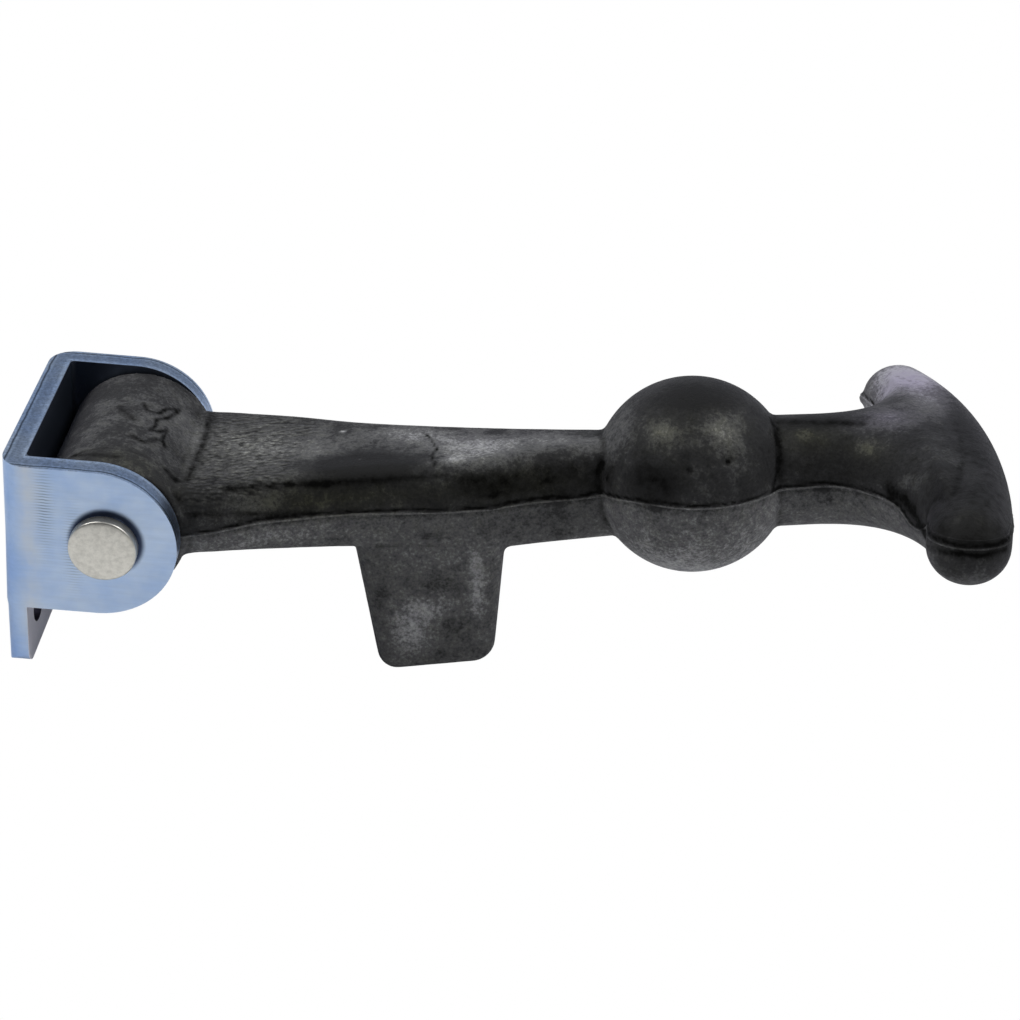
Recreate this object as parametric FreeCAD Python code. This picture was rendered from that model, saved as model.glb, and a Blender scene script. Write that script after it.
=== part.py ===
import FreeCAD
import Part
import math
import os

from FreeCAD import Vector

# Rubber hood latch: a folded steel bracket, a rivet through its two ears, and a moulded rubber arm
# that swings on a steel tube about the rivet. The arm carries a lug, a ball and a swept T handle.
# All lengths are in mm and all angles in degrees.
# Origin: on the bracket's mounting face, at the rivet's height, half way between the ears. +X is the
# face's normal, the way the arm reaches out. Y runs along the rivet. +Z is up, and the mounting
# flange points down. The pieces are made about the rivet's axis and moved there when they are saved.

# Bracket, folded from one strip of plate
plate_thickness = 3.6
bracket_width = 40.0
bend_inner_radius = 0.8
ear_height = 25.4
ear_round_setback = 1.5
flange_drop = 24.0
flange_corner_radius = 2.0
flange_edge_round = 3.0
mount_hole_diameter = 6.6
mount_hole_spacing = 25.4
mount_hole_edge_distance = 7.8
sheared_edge_break = 0.35
hole_overshoot = 1.0

# Rivet
rivet_diameter = 8.0
rivet_head_overhang = 1.4
rivet_head_height = 2.6
rivet_head_edge = 0.7
rivet_tail_overhang = 1.3
rivet_tail_height = 2.2
rivet_tail_edge = 1.3
rivet_hole_clearance = 0.05
rivet_rim_steps = 2

# Steel tube moulded into the arm's eye
tube_running_clearance = 0.06
tube_wall = 1.8
tube_end_clearance = 0.15

# Eye of the rubber arm, a barrel that tapers towards the rivet's head
eye_radius = 12.0
eye_end_clearance = 0.4
eye_to_plate_clearance = 0.4
eye_taper_length = 5.4
eye_taper_drop = 1.8
eye_tail_edge = 0.5

# Ball
ball_radius = 15.85
ball_distance = 91.65

# Arm between the eye and the ball, as wide as the eye at its root and narrowest at the ball.
# Each section gives its place as a share of the way from the rivet to the ball, the share of the
# root's extra width that is left there, its half thickness, and how far it sags.
arm_waist_half_width = 4.4
arm_sections = [
    (0.07, 0.96, 5.2, 0.0),
    (0.16, 0.99, 5.8, 0.0),
    (0.28, 0.81, 6.5, 0.3),
    (0.4, 0.63, 7.0, 0.9),
    (0.63, 0.47, 7.8, 2.0),
    (0.74, 0.27, 8.1, 1.7),
    (0.98, 0.0, 8.1, 1.0),
]
arm_side_draft = 1.3
arm_corner_radius = 3.4

# Lug under the arm
lug_centre = 49.3
lug_length = 26.3
lug_width = 20.0
lug_tip_centre = 49.45
lug_tip_length = 18.8
lug_tip_width = 17.0
lug_reach = 31.2
lug_tip_slope = 1.7
lug_corner_radius = 3.2
lug_tip_edge_radius = 3.0

# Neck beyond the ball, and the flare with which it spreads into the handle
neck_half_width = 8.6
neck_root_half_thickness = 9.5
neck_half_thickness = 9.2
flare_length = 14.2
flare_spread = 28.0
flare_end_half_thickness = 8.6
flare_inner_half_thickness = 7.2
flare_steps = 5

# T handle: a bar swept back at both ends, thickest in the middle
handle_beyond_ball = 38.2
handle_span = 66.8
handle_sweep_back = 4.0
handle_tip_radius = 5.9
handle_mid_half_depth = 6.3
handle_mid_half_height = 7.5
handle_rise = 1.3
handle_steps = 12

# How the rubber has set: the arm stands a little above the plate's normal, and its outer part is
# turned about its own length
arm_rise_angle = 6.3
arm_set_twist = -8.5
twist_start = 10.0
twist_end = 78.0

# Sizes that follow from the ones above
half_width = bracket_width / 2
ear_inner_face = half_width - plate_thickness
ear_radius = ear_height / 2
pin_to_mount_face = eye_radius + eye_to_plate_clearance + plate_thickness
plate_inner_face = plate_thickness - pin_to_mount_face
tube_bore_radius = rivet_diameter / 2 + tube_running_clearance
tube_outer_radius = tube_bore_radius + tube_wall
eye_half_length = ear_inner_face - eye_end_clearance
handle_tip_distance = ball_distance + handle_beyond_ball


def box_between(x_range, y_range, z_range):
    """a box from its lowest to its highest coordinates"""
    size = [high - low for low, high in (x_range, y_range, z_range)]
    return Part.makeBox(*size, Vector(x_range[0], y_range[0], z_range[0]))


def edges_where(shape, test):
    """the shape's edges whose middle point passes the test"""
    found = []
    for edge in shape.Edges:
        middle = (edge.FirstParameter + edge.LastParameter) / 2
        if test(edge.valueAt(middle)):
            found.append(edge)
    return found


def turned_profile(points):
    """a solid of revolution about the rivet's axis, from (distance along Y, radius) points"""
    corners = [Vector(0, along, radius) for along, radius in points]
    face = Part.Face(Part.makePolygon(corners + corners[:1]))
    return face.revolve(Vector(0, 0, 0), Vector(0, 1, 0), 360)


def rivet_axis_cylinder(radius, start, end):
    """a cylinder along the rivet's axis between two distances"""
    return Part.makeCylinder(radius, end - start, Vector(0, start, 0), Vector(0, 1, 0))


def ear_profile(face_position):
    """one ear's outline: straight from the plate, with a full round about the rivet"""
    round_centre = -ear_round_setback
    top = Vector(round_centre, face_position, ear_radius)
    tip = Vector(round_centre + ear_radius, face_position, 0)
    bottom = Vector(round_centre, face_position, -ear_radius)
    back_bottom = Vector(-pin_to_mount_face, face_position, -ear_radius)
    back_top = Vector(-pin_to_mount_face, face_position, ear_radius)
    edges = [
        Part.LineSegment(back_top, top).toShape(),
        Part.Arc(top, tip, bottom).toShape(),
        Part.LineSegment(bottom, back_bottom).toShape(),
        Part.LineSegment(back_bottom, back_top).toShape(),
    ]
    return Part.Face(Part.Wire(edges))


def make_flange():
    """mounting flange below the plate, its outer edges rounded where the bends run out, and its foot's corners"""
    sheet = (-pin_to_mount_face, plate_inner_face)
    across = (-half_width, half_width)
    drop = (-flange_drop, -ear_radius)
    flange = box_between(sheet, across, drop)
    flange = flange.makeFillet(flange_edge_round, edges_where(
        flange, lambda p: p.x < -pin_to_mount_face + 0.01 and abs(abs(p.y) - half_width) < 0.01))
    outline = box_between(sheet, across, drop)
    outline = outline.makeFillet(flange_corner_radius, edges_where(
        outline, lambda p: p.z < -flange_drop + 0.01 and abs(abs(p.y) - half_width) < 0.01))
    return flange.common(outline)


def make_bracket():
    """plate, two ears and the mounting flange below them, as one folded piece"""
    outer = ear_profile(-half_width).extrude(Vector(0, bracket_width, 0))
    outer_bend = bend_inner_radius + plate_thickness
    outer = outer.makeFillet(outer_bend, edges_where(
        outer, lambda p: p.x < -pin_to_mount_face + 0.01 and abs(abs(p.y) - half_width) < 0.01))
    outer = outer.makeChamfer(sheared_edge_break, edges_where(
        outer, lambda p: p.x > -pin_to_mount_face + outer_bend - 0.01 and abs(abs(p.y) - half_width) < 0.01))
    reach = ear_radius + pin_to_mount_face
    inner = box_between(
        (plate_inner_face, reach), (-ear_inner_face, ear_inner_face), (-ear_height, ear_height))
    inner = inner.makeFillet(bend_inner_radius, edges_where(
        inner, lambda p: p.x < plate_inner_face + 0.01 and abs(abs(p.y) - ear_inner_face) < 0.01))
    bracket = outer.cut(inner).fuse(make_flange()).removeSplitter()

    hole_height = mount_hole_edge_distance - flange_drop
    for side in (-1, 1):
        place = Vector(-pin_to_mount_face - hole_overshoot, side * mount_hole_spacing / 2, hole_height)
        bracket = bracket.cut(Part.makeCylinder(
            mount_hole_diameter / 2, plate_thickness + 2 * hole_overshoot, place, Vector(1, 0, 0)))
    return bracket.cut(rivet_axis_cylinder(
        rivet_diameter / 2 + rivet_hole_clearance, -half_width - hole_overshoot, half_width + hole_overshoot))


def rounded_rim(face, radius, edge, towards):
    """profile points of a rim: a quarter round from the end face out to the full radius"""
    points = []
    for step in range(rivet_rim_steps + 1):
        angle = math.pi / 2 * step / rivet_rim_steps
        points.append((face + towards * edge * (1 - math.cos(angle)), radius - edge * (1 - math.sin(angle))))
    return points


def make_rivet():
    """flat head at the front ear, shank, and the tail upset over the rear ear"""
    shank_radius = rivet_diameter / 2
    head_face = -half_width - rivet_head_height
    tail_face = half_width + rivet_tail_height
    head_rim = rounded_rim(head_face, shank_radius + rivet_head_overhang, rivet_head_edge, 1)
    tail_rim = rounded_rim(tail_face, shank_radius + rivet_tail_overhang, rivet_tail_edge, -1)
    return turned_profile(
        [(head_face, 0)] + head_rim
        + [(-half_width, head_rim[-1][1]), (-half_width, shank_radius)]
        + [(half_width, shank_radius), (half_width, tail_rim[-1][1])]
        + tail_rim[::-1] + [(tail_face, 0)])


def make_tube():
    """steel tube that turns on the rivet and keeps the ears apart"""
    half_length = ear_inner_face - tube_end_clearance
    outer = rivet_axis_cylinder(tube_outer_radius, -half_length, half_length)
    return outer.cut(rivet_axis_cylinder(tube_bore_radius, -half_length, half_length))


def rounded_outline(points, radii):
    """closed wire through corner points, each rounded by its own radius, or sharp at 0"""
    edges = []
    last_end = None
    first_start = None
    count = len(points)
    for index, (corner, radius) in enumerate(zip(points, radii)):
        back = (points[index - 1] - corner).normalize()
        ahead = (points[(index + 1) % count] - corner).normalize()
        half_angle = back.getAngle(ahead) / 2
        tangent = radius / math.tan(half_angle)
        start = corner + back * tangent
        end = corner + ahead * tangent
        if last_end is not None:
            edges.append(Part.LineSegment(last_end, start).toShape())
        else:
            first_start = start
        if radius > 0:
            inward = (back + ahead).normalize()
            middle = corner + inward * (radius / math.sin(half_angle) - radius)
            edges.append(Part.Arc(start, middle, end).toShape())
        last_end = end
    edges.append(Part.LineSegment(last_end, first_start).toShape())
    return Part.Wire(edges)


def make_eye():
    """the arm's eye: a barrel about the rivet, tapered at the head's end and bevelled at the tail's"""
    return turned_profile([
        (-eye_half_length, 0),
        (-eye_half_length, eye_radius - eye_taper_drop),
        (eye_taper_length - eye_half_length, eye_radius),
        (eye_half_length - eye_tail_edge, eye_radius),
        (eye_half_length, eye_radius - eye_tail_edge),
        (eye_half_length, 0),
    ])


def twist_at(distance):
    """how far the arm has turned about its own length at a distance from the rivet"""
    share = (distance - twist_start) / (twist_end - twist_start)
    return arm_set_twist * min(1.0, max(0.0, share))


def arm_section(place, extra_width, half_thick, sag):
    """closed wire across the arm: widest at the parting plane, drafted above and below it"""
    distance = place * ball_distance
    half_wide = arm_waist_half_width + extra_width * (eye_half_length - arm_waist_half_width)
    narrow = half_wide - arm_side_draft
    flat = [(half_wide, 0), (narrow, half_thick), (-narrow, half_thick),
            (-half_wide, 0), (-narrow, -half_thick), (narrow, -half_thick)]
    points = [Vector(distance, across, up - sag) for across, up in flat]
    rounding = [0, arm_corner_radius, arm_corner_radius] * 2
    wire = rounded_outline(points, rounding)
    wire.rotate(Vector(0, 0, 0), Vector(1, 0, 0), twist_at(distance))
    return wire


def make_beam():
    """the arm from the eye to the ball, through its sections"""
    return Part.makeLoft([arm_section(*section) for section in arm_sections], True, True)


def make_lug():
    """tapered lug under the arm with rounded corners and a rounded tip"""
    side_view = [
        (lug_centre - lug_length / 2, 0),
        (lug_centre + lug_length / 2, 0),
        (lug_tip_centre + lug_tip_length / 2, lug_tip_slope / 2 - lug_reach),
        (lug_tip_centre - lug_tip_length / 2, -lug_tip_slope / 2 - lug_reach),
    ]
    deepest = lug_reach + lug_tip_slope
    deepest_half_width = (lug_width + (lug_tip_width - lug_width) * deepest / lug_reach) / 2
    front_view = [(-lug_width / 2, 0), (lug_width / 2, 0), (deepest_half_width, -deepest),
                  (-deepest_half_width, -deepest)]
    side_corners = [Vector(along, -lug_width / 2, up) for along, up in side_view]
    front_corners = [Vector(0, across, up) for across, up in front_view]
    lug = Part.Face(Part.makePolygon(side_corners + side_corners[:1])).extrude(Vector(0, lug_width, 0))
    lug = lug.common(Part.Face(Part.makePolygon(front_corners + front_corners[:1])).extrude(
        Vector(ball_distance, 0, 0)))
    half_way = lug_reach / 2
    lug = lug.makeFillet(lug_corner_radius, edges_where(lug, lambda p: abs(p.z + half_way) < half_way / 2))
    lug = lug.makeFillet(lug_tip_edge_radius, edges_where(lug, lambda p: p.z < -half_way * 1.5))
    lug.rotate(Vector(0, 0, 0), Vector(1, 0, 0), twist_at(lug_centre))
    return lug


def ellipse_wire(centre, sideways, half_width, half_height):
    """closed ellipse about a centre, half_width along one level direction and half_height along Z"""
    up = Vector(0, 0, 1)
    ellipse = Part.Ellipse(centre, max(half_width, half_height), min(half_width, half_height))
    ellipse.Axis = sideways.cross(up)
    ellipse.XAxis = up if half_height > half_width else sideways
    return Part.Wire([ellipse.toShape()])


def make_handle():
    """T handle: a bar bent back at both ends, with ball ends"""
    half_span = handle_span / 2
    bend_radius = (half_span ** 2 + handle_sweep_back ** 2) / (2 * handle_sweep_back)
    bend_centre = Vector(handle_tip_distance + handle_sweep_back - bend_radius, 0, handle_rise)
    half_angle = math.asin(half_span / bend_radius)
    wires = []
    for step in range(handle_steps + 1):
        share = 2 * step / handle_steps - 1
        swell = 1 - share ** 2
        outward = Vector(math.cos(share * half_angle), math.sin(share * half_angle), 0)
        half_depth = handle_tip_radius + (handle_mid_half_depth - handle_tip_radius) * swell
        half_height = handle_tip_radius + (handle_mid_half_height - handle_tip_radius) * swell
        wires.append(ellipse_wire(bend_centre + outward * bend_radius, outward, half_depth, half_height))
    bar = Part.makeLoft(wires, True, True)
    ends = []
    for side in (-1, 1):
        outward_end = Vector(-math.sin(half_angle), side * math.cos(half_angle), 0)
        place = Vector(handle_tip_distance, side * half_span, handle_rise)
        ends.append(Part.makeSphere(handle_tip_radius, place, outward_end, 0, 90, 360))
    return bar.fuse(ends)


def make_neck():
    """neck from the ball, and the flare that spreads into the handle along a quarter of an ellipse"""
    flare_end = handle_tip_distance + handle_sweep_back - handle_mid_half_depth
    stations = [(ball_distance, neck_half_width, neck_root_half_thickness)]
    for step in range(flare_steps + 1):
        angle = math.pi / 2 * step / flare_steps
        spread = 1 - math.cos(angle)
        half_thick = neck_half_thickness + (flare_end_half_thickness - neck_half_thickness) * spread
        stations.append((flare_end - flare_length * (1 - math.sin(angle)),
                         neck_half_width + flare_spread * spread, half_thick))
    stations.append((handle_tip_distance + handle_sweep_back, stations[-1][1], flare_inner_half_thickness))
    wires = []
    for distance, half_wide, half_thick in stations:
        rise = handle_rise * (distance - ball_distance) / handle_beyond_ball
        wires.append(ellipse_wire(Vector(distance, 0, rise), Vector(0, 1, 0), half_wide, half_thick))
    return Part.makeLoft(wires, True, True)


def make_arm():
    """the moulded rubber arm in one piece, bored for the tube"""
    handle = make_handle().fuse(make_neck())
    handle.rotate(Vector(0, 0, 0), Vector(1, 0, 0), arm_set_twist)
    ball = Part.makeSphere(ball_radius, Vector(ball_distance, 0, 0))
    arm = make_beam().fuse([make_lug(), ball, handle])
    arm.rotate(Vector(0, 0, 0), Vector(0, -1, 0), arm_rise_angle)
    arm = make_eye().fuse(arm)
    arm = arm.cut(rivet_axis_cylinder(tube_outer_radius, -half_width, half_width))
    return arm.removeSplitter()


def save(name, shape):
    """write one piece as a STEP file, moved so that the mounting face is at x = 0"""
    shape.translate(Vector(pin_to_mount_face, 0, 0))
    shape.exportStep(os.path.join("parts", name + ".step"))
    print(name, "valid", shape.isValid(), "solids", len(shape.Solids), "mm3", round(shape.Volume, 1))


os.makedirs("parts", exist_ok=True)
save("bracket", make_bracket())
save("pivot_rivet", make_rivet())
save("spacer_tube", make_tube())
save("rubber_arm", make_arm())
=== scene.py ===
import math
import bmesh
import bpy
import numpy as np
from mathutils import Matrix, Vector, noise


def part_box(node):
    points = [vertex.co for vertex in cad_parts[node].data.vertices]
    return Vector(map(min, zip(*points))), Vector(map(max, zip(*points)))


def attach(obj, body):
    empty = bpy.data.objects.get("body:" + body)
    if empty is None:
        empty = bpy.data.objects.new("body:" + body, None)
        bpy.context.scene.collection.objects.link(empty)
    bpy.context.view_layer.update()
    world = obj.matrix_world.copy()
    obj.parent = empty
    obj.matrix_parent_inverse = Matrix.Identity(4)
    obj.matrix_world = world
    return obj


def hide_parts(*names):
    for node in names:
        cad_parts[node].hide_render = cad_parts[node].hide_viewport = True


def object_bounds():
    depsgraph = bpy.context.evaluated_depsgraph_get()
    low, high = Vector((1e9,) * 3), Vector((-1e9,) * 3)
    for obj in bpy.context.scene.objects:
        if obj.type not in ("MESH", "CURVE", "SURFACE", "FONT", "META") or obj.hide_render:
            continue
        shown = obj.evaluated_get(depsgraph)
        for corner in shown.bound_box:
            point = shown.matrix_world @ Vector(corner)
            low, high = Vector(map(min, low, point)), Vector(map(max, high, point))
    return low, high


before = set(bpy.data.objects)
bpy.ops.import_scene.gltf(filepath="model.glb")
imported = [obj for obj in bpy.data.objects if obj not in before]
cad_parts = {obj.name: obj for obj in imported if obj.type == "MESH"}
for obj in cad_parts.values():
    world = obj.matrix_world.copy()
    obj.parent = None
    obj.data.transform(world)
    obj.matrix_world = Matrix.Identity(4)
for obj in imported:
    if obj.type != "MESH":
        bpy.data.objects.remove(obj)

# Rubber hood latch: a folded zinc-plated bracket, a rivet, and a moulded rubber arm with lug, ball and
# T handle
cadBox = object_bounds()
mm = 0.001


# Colours are written as sRGB hex and turned to the linear values that the shaders want
def linear(hexColour):
    channels = [int(hexColour[place:place + 2], 16) / 255 for place in (1, 3, 5)]
    return tuple(c / 12.92 if c <= 0.04045 else ((c + 0.055) / 1.055) ** 2.4 for c in channels) + (1.0,)


def setUp(thing, settings):
    for name, value in settings.items():
        setattr(thing, name, value)


# Adds one node: inputs are values or sockets to link from, stops are a colour ramp's places and colours
def add(tree, kind, inputs=None, stops=None, **settings):
    made = tree.nodes.new("ShaderNode" + kind)
    setUp(made, settings)
    for name, value in (inputs or {}).items():
        if isinstance(value, bpy.types.NodeSocket):
            tree.links.new(value, made.inputs[name])
        else:
            made.inputs[name].default_value = value
    if stops:
        ramp = made.color_ramp.elements
        while len(ramp) < len(stops):
            ramp.new(1.0)
        for element, (place, colour) in zip(ramp, stops):
            element.position = place
            element.color = linear(colour)
    return made


# Small calculations in shader nodes
def calculate(tree, operation, *values):
    return add(tree, "Math", dict(enumerate(values)), operation=operation).outputs[0]


def chained(tree, operation, value, *others):
    for other in others:
        value = calculate(tree, operation, value, other)
    return value


def plus(tree, *values):
    return chained(tree, "ADD", *values)


def minus(tree, *values):
    return chained(tree, "SUBTRACT", *values)


def times(tree, *values):
    return chained(tree, "MULTIPLY", *values)


# Multiplies by a scale and adds a shift
def scaled(tree, value, scale, shift):
    return calculate(tree, "MULTIPLY_ADD", value, scale, shift)


# Turns noise that lies about one half into a swing about zero
def swung(tree, value, share):
    return scaled(tree, value, share, -share / 2)


# Takes a value from one range into another, and holds it at the ends
def ranged(tree, value, low, high, first=0.0, last=1.0, interpolation="LINEAR"):
    return add(tree, "MapRange", {
        "Value": value, "From Min": low, "From Max": high, "To Min": first, "To Max": last},
               interpolation_type=interpolation).outputs[0]


def blended(tree, share, under, over, blend="MIX"):
    over = linear(over) if isinstance(over, str) else over
    return add(tree, "Mix", {0: share, 6: under, 7: over},
               data_type="RGBA", blend_type=blend).outputs[2]


def ramped(tree, value, stops):
    return add(tree, "ValToRGB", {"Fac": value}, stops=stops).outputs[0]


# Noise from a layer's three values: size of its clouds in mm, detail and roughness
def clouded(tree, place, layer, distortion=0.0):
    size, detail, roughness = layer
    return add(tree, "TexNoise", {
        "Vector": place, "Scale": 1000 / size, "Detail": detail, "Roughness": roughness,
        "Distortion": distortion}).outputs[0]


# The camera sees one shader and every other ray another
def cameraSees(tree, seen, others):
    path = add(tree, "LightPath")
    return add(tree, "MixShader", {
        0: path.outputs["Is Camera Ray"], 1: others.outputs[0], 2: seen.outputs[0]})


def surfaced(tree, inputs):
    skin = add(tree, "BsdfPrincipled", inputs)
    add(tree, "OutputMaterial", {"Surface": skin.outputs[0]})


def newMaterial(name):
    material = bpy.data.materials.new(name)
    material.use_nodes = True
    material.node_tree.nodes.clear()
    return material, material.node_tree


def dress(piece, material):
    piece.data.materials.clear()
    piece.data.materials.append(material)


def placed(name, data):
    piece = bpy.data.objects.new(name, data)
    bpy.context.scene.collection.objects.link(piece)
    return piece


def smoothed(piece):
    for face in piece.data.polygons:
        face.use_smooth = True
    return piece


def modify(piece, kind, **settings):
    setUp(piece.modifiers.new(kind, kind), settings)


# Applies an object's modifiers to its own mesh
def settled(piece):
    evaluated = piece.evaluated_get(bpy.context.evaluated_depsgraph_get())
    result = bpy.data.meshes.new_from_object(evaluated)
    piece.modifiers.clear()
    old, piece.data = piece.data, result
    bpy.data.meshes.remove(old)
    return piece


# Turns a bmesh shell, which is used up, into an object with its faces turned outward
def solidFromShell(name, shell):
    bmesh.ops.recalc_face_normals(shell, faces=shell.faces)
    mesh = bpy.data.meshes.new(name)
    shell.to_mesh(mesh)
    shell.free()
    return placed(name, mesh)


# Camera, where the photograph was taken from: metres and degrees, millimetres for lens and sensor
cameraSetup = {
    "position": (0.07117, -0.28142, 0.16590),
    "yaw": -1.4754,
    "pitch": 30.4364,
    "roll": 5.4510,
    "optics": {"lens": 70.41, "sensor_width": 36.0, "clip_start": 0.01},
}


def makeCamera():
    yaw, pitch, roll = (math.radians(cameraSetup[name]) for name in ("yaw", "pitch", "roll"))
    turned = (Matrix.Rotation(yaw, 4, "Z") @ Matrix.Rotation(math.pi / 2 - pitch, 4, "X")
              @ Matrix.Rotation(roll, 4, "Z"))
    data = bpy.data.cameras.new("camera")
    setUp(data, cameraSetup["optics"])
    camera = placed("camera", data)
    camera.matrix_world = Matrix.Translation(cameraSetup["position"]) @ turned
    bpy.context.scene.camera = camera


# Studio: two soft boxes above, left and right, a room that is dim behind the camera and lighter at the
# back, and white paper below, which lights the underside and fills the bare metal with white
studio = {
    "lampDistance": 1.2,
    "lampShape": {"shape": "DISK", "size": 0.62},
    "lamps": [((-0.62, 0.10, 0.78), 7.0), ((0.60, -0.02, 0.80), 6.0)],
    "roomColour": "#c3c8d0",
    "roomDepths": (-0.5, 0.6),
    "roomStrengths": (0.10, 0.65),
    "floorColour": "#f4f4f4",
    "floorSkin": {"Roughness": 0.9, "IOR": 1.45},
    "floorSize": 6.0,
    "floorGap": 0.0001,
}


def makeStudio():
    scene = bpy.context.scene
    scene.view_settings.view_transform = "Standard"
    centre = (cadBox[0] + cadBox[1]) / 2
    for index, (direction, power) in enumerate(studio["lamps"]):
        data = bpy.data.lights.new("softBox%d" % index, "AREA")
        setUp(data, {**studio["lampShape"], "energy": power})
        lamp = placed(data.name, data)
        towards = Vector(direction).normalized()
        lamp.location = centre + towards * studio["lampDistance"]
        lamp.rotation_euler = towards.to_track_quat("Z", "Y").to_euler()

    world = bpy.data.worlds.new("studio")
    scene.world = world
    world.use_nodes = True
    tree = world.node_tree
    tree.nodes.clear()
    direction = add(tree, "TexCoord").outputs["Generated"]
    depth = add(tree, "SeparateXYZ", {"Vector": direction}).outputs["Y"]
    strength = ranged(tree, depth, *studio["roomDepths"], *studio["roomStrengths"])
    room = add(tree, "Background", {
        "Color": linear(studio["roomColour"]), "Strength": strength})
    white = add(tree, "Background", {"Color": (1, 1, 1, 1), "Strength": 1.0})
    add(tree, "OutputWorld", {"Surface": cameraSees(tree, white, room).outputs[0]})

    half = studio["floorSize"] / 2
    height = cadBox[0].z - studio["floorGap"]
    mesh = bpy.data.meshes.new("floor")
    corners = [(x, y, height) for x, y in ((-half, -half), (half, -half), (half, half), (-half, half))]
    mesh.from_pydata(corners, [], [(0, 1, 2, 3)])
    floor = placed("floor", mesh)
    material, tree = newMaterial("whitePaperSweep")
    paper = add(tree, "BsdfPrincipled", {
        "Base Color": linear(studio["floorColour"]), **studio["floorSkin"]})
    # the camera looks through the paper at the white behind, so the arm shows where it hangs lower
    clear = add(tree, "BsdfTransparent", {"Color": (1, 1, 1, 1)})
    add(tree, "OutputMaterial", {"Surface": cameraSees(tree, clear, paper).outputs[0]})
    dress(floor, material)


# A smooth curve through (place, value) knots, read at one place or at many
def curveThrough(knots, where):
    places, values = (np.array(column, float) for column in zip(*knots))
    slopes = np.gradient(values, places)
    where = np.clip(where, places[0], places[-1])
    index = np.clip(np.searchsorted(places, where) - 1, 0, len(places) - 2)
    gap = places[index + 1] - places[index]
    t = (where - places[index]) / gap
    return ((1 + 2 * t) * (1 - t) ** 2 * values[index] + t * (1 - t) ** 2 * gap * slopes[index]
            + t ** 2 * (3 - 2 * t) * values[index + 1] + t ** 2 * (t - 1) * gap * slopes[index + 1])


# Skins rings of equally many points into one closed bmesh shell, capped, or looped back to the first
def skinRings(shell, rings, looped=False):
    rows = [[shell.verts.new(point) for point in ring] for ring in rings]
    count = len(rows[0])
    for lower, upper in zip(rows, rows[1:] + (rows[:1] if looped else [])):
        for index in range(count):
            after = (index + 1) % count
            shell.faces.new((lower[index], lower[after], upper[after], upper[index]))
    if not looped:
        shell.faces.new(rows[0][::-1])
        shell.faces.new(rows[-1])


# Rounds every corner of a flat outline by its own radius, with the same number of points each time
def roundedOutline(corners, radii, steps):
    points = []
    for index, (corner, radius) in enumerate(zip(corners, radii)):
        corner = Vector(corner)
        back = (Vector(corners[index - 1]) - corner).normalized()
        ahead = (Vector(corners[(index + 1) % len(corners)]) - corner).normalized()
        half = back.angle(ahead) / 2
        inward = (back + ahead).normalized()
        centre = corner + inward * (radius / math.sin(half))
        spoke = corner + back * (radius / math.tan(half)) - centre
        sweep = (math.pi - 2 * half) * (-1 if back.cross(ahead) > 0 else 1)
        for step in range(steps + 1):
            points.append(centre + Matrix.Rotation(sweep * step / steps, 2) @ spoke)
    return points


# Share of the way from zero to a reach, held between zero and one
def held(value, reach):
    return np.clip(value / reach, 0, 1)


# Angles in radians, from a first to a last in degrees
def angles(first, last, step):
    return np.radians(np.arange(first, last + step / 2, step))


def fullTurn(step):
    return angles(0, 360 - step, step)


def oval(wide, high, step):
    return [(wide * math.cos(a), high * math.sin(a)) for a in fullTurn(step)]


# Middle of the pin, from the CAD rivet's box
def pinCentre():
    low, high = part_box("pivot_rivet")
    return Vector(((low.x + high.x) / 2, 0, (low.z + high.z) / 2))


# Rubber arm: sizes in mm in the arm's own frame, X from the rivet along the arm and Z up. Keys that end
# in Step are the spacing of rings in mm or of their points in degrees.
armForm = {
    "riseAngle": 6.3,
    "setTwist": -8.5,
    "twistStart": 10.0,
    "twistEnd": 78.0,
    "eyeRadius": 12.0,
    "eyeHalfLength": 16.0,
    "eyeTaperLength": 5.4,
    "eyeEndDrop": 0.1,
    "eyeEdge": 0.5,
    "boreRadius": 5.93,
    "roundStep": 3,
    "ballDistance": 91.65,
    "ballRadius": 15.85,
    "ballPole": 89,
    "beamStart": 6.4,
    "beamStep": 0.8,
    "halfWidths": [(6.4, 15.5), (14.7, 15.9), (25.7, 13.8), (36.7, 11.7), (57.7, 9.85), (67.8, 7.6),
                   (89.8, 4.6)],
    "halfThicknesses": [(6.4, 8.4), (9.8, 6.5), (12.0, 5.95), (16.0, 5.85), (25.7, 6.5), (36.7, 7.0),
                        (57.7, 7.85), (67.8, 8.15), (89.8, 8.1)],
    "sags": [(6.4, 0.0), (14.7, 0.0), (25.7, 0.3), (36.7, 0.9), (57.7, 2.0), (67.8, 1.7), (89.8, 1.0)],
    "sideDraft": 1.3,
    "sideEdge": 0.3,
    "cornerRadius": 3.0,
    "cornerSteps": 8,
    "lugRoot": {"centre": 49.3, "length": 26.3, "width": 20.0},
    "lugTip": {"centre": 49.45, "length": 18.8, "width": 17.0},
    "lugReach": 31.3,
    "lugTipSlope": 1.7,
    "lugCorner": 3.2,
    "lugLeastCorner": 0.3,
    "lugTipEdge": 3.1,
    "lugLevels": 6,
    "lugEdgeStep": 10,
    "neckHalfWidth": 8.62,
    "neckRootHalfThickness": 9.2,
    "neckHalfThickness": 8.95,
    "neckStep": 4,
    "flareLength": 16.2,
    "flareSpread": 29.0,
    "flareEndHalfThickness": 8.7,
    "flareInnerHalfThickness": 7.3,
    "flareStep": 5,
    "handleBeyondBall": 38.15,
    "handleSpan": 66.8,
    "handleSweepBack": 3.9,
    "handleMid": {"halfDepth": 6.45, "halfHeight": 7.5},
    "handleTip": {"halfDepth": 6.15, "halfHeight": 5.8},
    "handleTipReach": 5.8,
    "handleRise": 1.05,
    "handleRings": 41,
    "handleStep": 6,
    "tipStep": 9,
    "voxel": 0.5,
    "smoothing": 2,
    "smoothShare": 0.5,
}


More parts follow.
